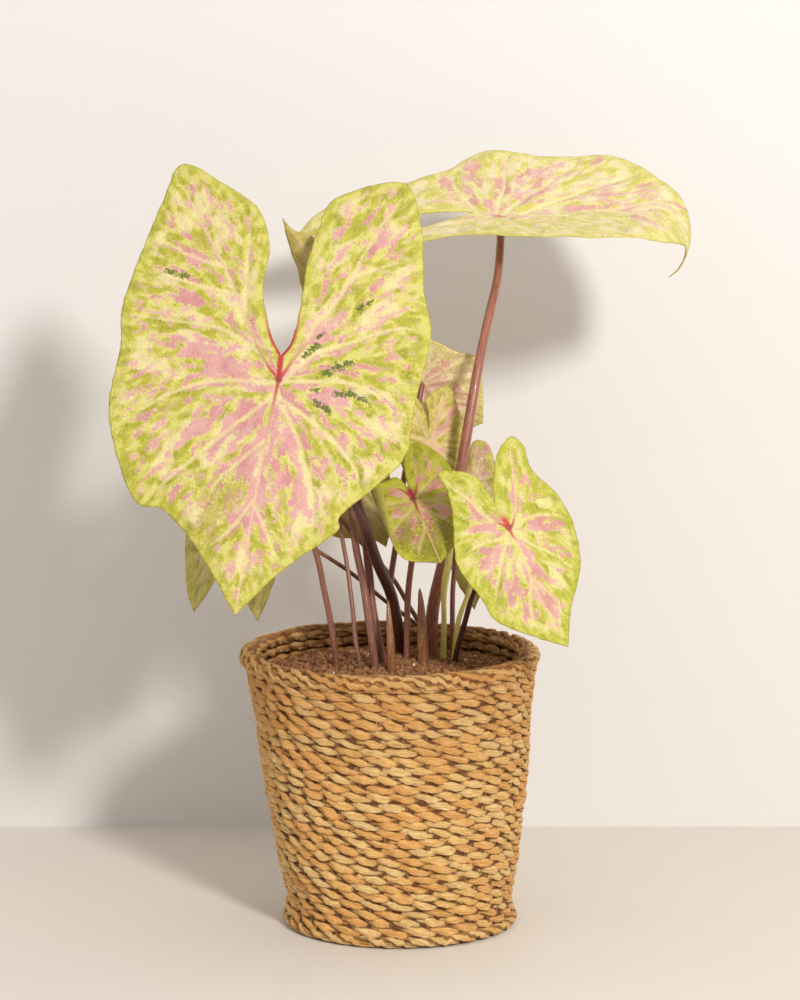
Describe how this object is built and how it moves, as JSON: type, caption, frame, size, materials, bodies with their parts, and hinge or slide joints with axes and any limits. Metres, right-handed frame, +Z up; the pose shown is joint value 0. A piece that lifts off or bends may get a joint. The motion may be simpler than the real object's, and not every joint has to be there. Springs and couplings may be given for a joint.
{
  "type": "potted caladium in a woven basket",
  "caption": "Caladium with pink, cream and lime heart-shaped leaves on slender stalks, growing in a nursery pot set in a woven seagrass basket.",
  "frame": {"origin": "centre of the basket's flat underside", "axes": "+Z up; -Y is the plant's front, the side that the picture shows; +X to the right seen from the front"},
  "size_m": [0.3151, 0.2225, 0.4194],
  "materials": {
    "seagrass": "matte",
    "pot": "satin",
    "soil": "matte",
    "blade": "satin",
    "stalk": "satin",
    "dark": "satin",
    "salmon": "satin",
    "green": "satin",
    "sheath": "matte"
  },
  "bodies": {
    "root": {"basket": "seagrass", "grow_pot": "pot", "soil": "soil", "blade_front_large": "blade", "blade_top_right": "blade", "blade_front_right": "blade", "blade_centre_cupped": "blade", "blade_back_upper": "blade", "blade_middle_upper": "blade", "blade_back_centre": "blade", "blade_left_low": "blade", "blade_left_back": "blade", "blade_right_back": "blade", "blade_back_high": "blade", "blade_left_high": "blade", "blade_back_low": "blade", "petiole_front_large": "dark", "petiole_top_right": "salmon", "petiole_front_right": "dark", "petiole_centre_cupped": "salmon", "petiole_back_upper": "stalk", "petiole_middle_upper": "salmon", "petiole_back_centre": "stalk", "petiole_left_low": "stalk", "petiole_left_back": "stalk", "petiole_right_back": "green", "petiole_back_high": "stalk", "petiole_left_high": "stalk", "petiole_back_low": "stalk", "sheath_front": "sheath", "sheath_right": "sheath", "young_rolled_leaf": "green"}
  },
  "joints": []
}
